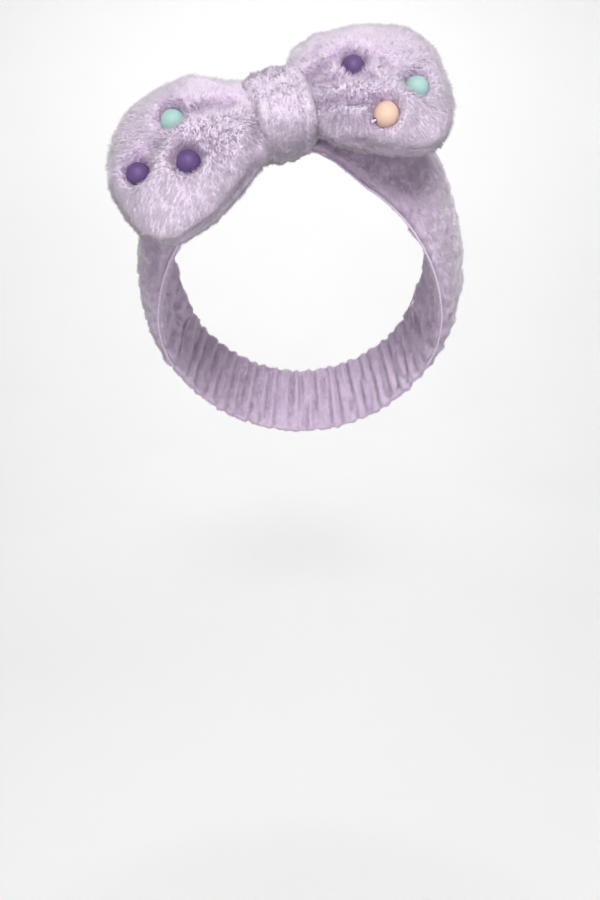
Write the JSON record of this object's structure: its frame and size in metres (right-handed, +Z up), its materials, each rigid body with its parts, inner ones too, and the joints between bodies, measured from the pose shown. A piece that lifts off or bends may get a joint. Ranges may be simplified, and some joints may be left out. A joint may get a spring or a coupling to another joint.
{
  "type": "spa headband",
  "caption": "Padded plush headband loop with a gathered elastic rear and a tied, padded bow with sewn-on beads at the front.",
  "frame": {"origin": "centre of the head opening, which is the centre of the loop", "axes": "+X to the right of a viewer facing the wearer, -Y from the wearer's face to that viewer, +Z up"},
  "size_m": [0.1824, 0.2004, 0.1963],
  "materials": {
    "fleece": "plush coral fleece, long soft pile",
    "fleece_lining": "plush coral fleece, shaded side",
    "foam": "soft polyester filling",
    "thread": "twisted polyester sewing thread",
    "elastic": "braided elastic",
    "mint_bead": "matte rubberised",
    "purple_bead": "matte rubberised",
    "peach_bead": "matte rubberised"
  },
  "bodies": {
    "band": {"band_outer_panel": "fleece", "band_inner_panel": "fleece_lining", "band_padding": "foam", "band_front_seam": "thread", "band_rear_seam": "thread", "knot_wrap": "fleece", "bow_gather": "fleece_lining", "knot_back_stitches": "thread", "bow_tack_stitches": "thread"},
    "rear": {"elastic_strip": "elastic", "rear_sleeve_outer": "fleece", "rear_sleeve_inner": "fleece_lining", "left_elastic_stitches": "thread", "right_elastic_stitches": "thread"},
    "left_lobe": {"left_lobe_front_panel": "fleece", "left_lobe_back_panel": "fleece_lining", "left_lobe_filling": "foam", "left_lobe_edge_seam": "thread", "left_bead_threads": "thread"},
    "right_lobe": {"right_lobe_front_panel": "fleece", "right_lobe_back_panel": "fleece_lining", "right_lobe_filling": "foam", "right_lobe_edge_seam": "thread", "right_bead_threads": "thread"},
    "left_mint_bead": {"left_mint_bead": "mint_bead"},
    "left_inner_purple_bead": {"left_inner_purple_bead": "purple_bead"},
    "left_outer_purple_bead": {"left_outer_purple_bead": "purple_bead"},
    "right_purple_bead": {"right_purple_bead": "purple_bead"},
    "right_mint_bead": {"right_mint_bead": "mint_bead"},
    "right_peach_bead": {"right_peach_bead": "peach_bead"}
  },
  "joints": [
    {"name": "left_lobe_flap", "type": "hinge", "parent": "band", "child": "left_lobe", "pos_m": [-0.02301, -0.09424, 0.05878], "axis": [-0.6018, 0.3626, 0.7116], "range_deg": [-6, 30], "stiffness_Nm_per_rad": 0.1},
    {"name": "right_lobe_flap", "type": "hinge", "parent": "band", "child": "right_lobe", "pos_m": [0.00569, -0.09022, 0.06667], "axis": [0.2079, -0.4441, -0.8715], "range_deg": [-2, 35], "stiffness_Nm_per_rad": 0.1},
    {"name": "elastic_stretch", "type": "slide", "parent": "band", "child": "rear", "axis": [0, 0.7193, -0.6947], "range_m": [0, 0.01], "stiffness_N_per_m": 300, "springref_m": -0.003},
    {"name": "left_mint_spin", "type": "hinge", "parent": "left_lobe", "child": "left_mint_bead", "pos_m": [-0.05058, -0.10418, 0.05248], "axis": [-0.295, 0.3908, 0.8719], "continuous": true},
    {"name": "left_inner_purple_spin", "type": "hinge", "parent": "left_lobe", "child": "left_inner_purple_bead", "pos_m": [-0.04328, -0.11224, 0.03465], "axis": [0.5373, 0.2617, 0.8017], "continuous": true},
    {"name": "left_outer_purple_spin", "type": "hinge", "parent": "left_lobe", "child": "left_outer_purple_bead", "pos_m": [-0.06343, -0.1104, 0.03073], "axis": [0.949, 0.0137, 0.315], "continuous": true},
    {"name": "right_purple_spin", "type": "hinge", "parent": "right_lobe", "child": "right_purple_bead", "pos_m": [0.02166, -0.09352, 0.07732], "axis": [-0.9897, 0.034, 0.139], "continuous": true},
    {"name": "right_mint_spin", "type": "hinge", "parent": "right_lobe", "child": "right_mint_bead", "pos_m": [0.04674, -0.09949, 0.06684], "axis": [-0.5297, 0.3744, 0.7611], "continuous": true},
    {"name": "right_peach_spin", "type": "hinge", "parent": "right_lobe", "child": "right_peach_bead", "pos_m": [0.03413, -0.10496, 0.05514], "axis": [-0.8475, -0.2697, -0.4572], "continuous": true}
  ]
}
